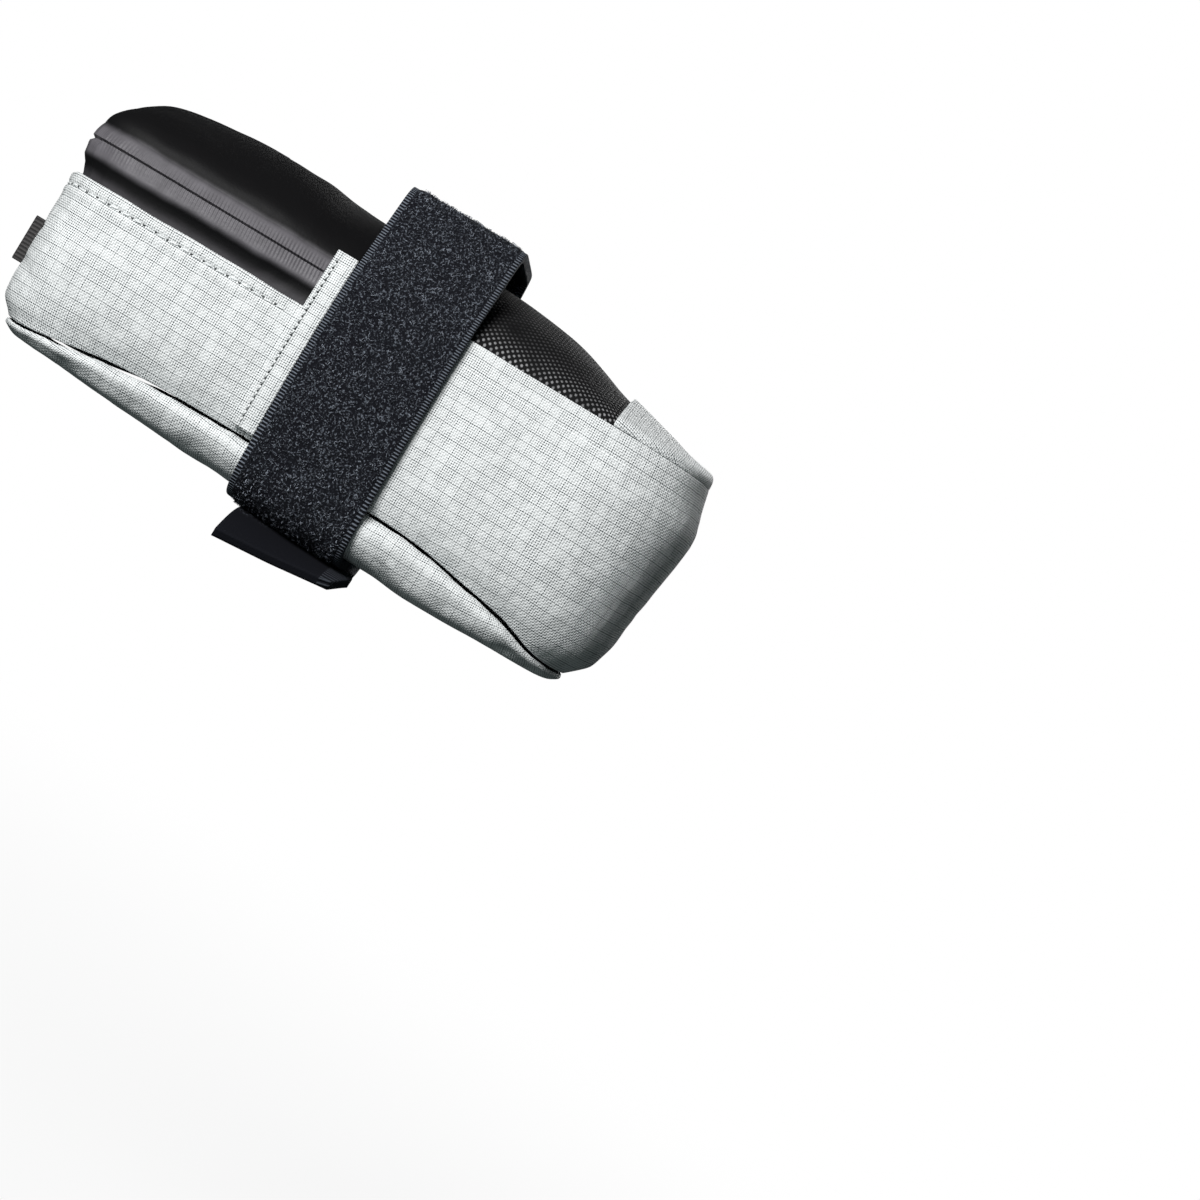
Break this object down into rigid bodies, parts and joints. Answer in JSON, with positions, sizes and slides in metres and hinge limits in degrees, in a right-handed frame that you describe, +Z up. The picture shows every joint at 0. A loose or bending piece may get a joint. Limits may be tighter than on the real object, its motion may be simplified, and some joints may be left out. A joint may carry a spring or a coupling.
{
  "type": "bicycle saddle bag",
  "caption": "Small wedge-shaped cloth saddle bag with a zip round the rear, a domed top and one wide hook-and-loop strap that goes over two rails.",
  "frame": {"origin": "middle of the underside of the strap's bridge, the seat that rests on the two saddle rails", "axes": "+X along the bag towards its front, +Y to its far side, +Z up, square to the base"},
  "size_m": [0.1669, 0.0857, 0.0908],
  "materials": {
    "grey_ripstop": "matt woven ripstop",
    "black_laminate": "satin laminated cloth",
    "black_woven": "matt coarse weave",
    "loop_pile": "matt loop pile with ribbed edges",
    "dark_webbing": "matt webbing",
    "zip_coil": "matt",
    "zip_metal": "satin black"
  },
  "bodies": {
    "root": {"base_panel": "grey_ripstop", "rear_wrap": "grey_ripstop", "front_wrap": "grey_ripstop", "near_side_strip": "grey_ripstop", "far_side_strip": "grey_ripstop", "nose_panel": "grey_ripstop", "zip_tape_lower": "black_laminate", "zip_tape_upper": "black_laminate", "rear_lid": "black_laminate", "top_panel": "black_woven", "zip_coil": "zip_coil", "zip_slider": "zip_metal", "strap": "loop_pile", "light_loop": "dark_webbing"}
  },
  "joints": []
}
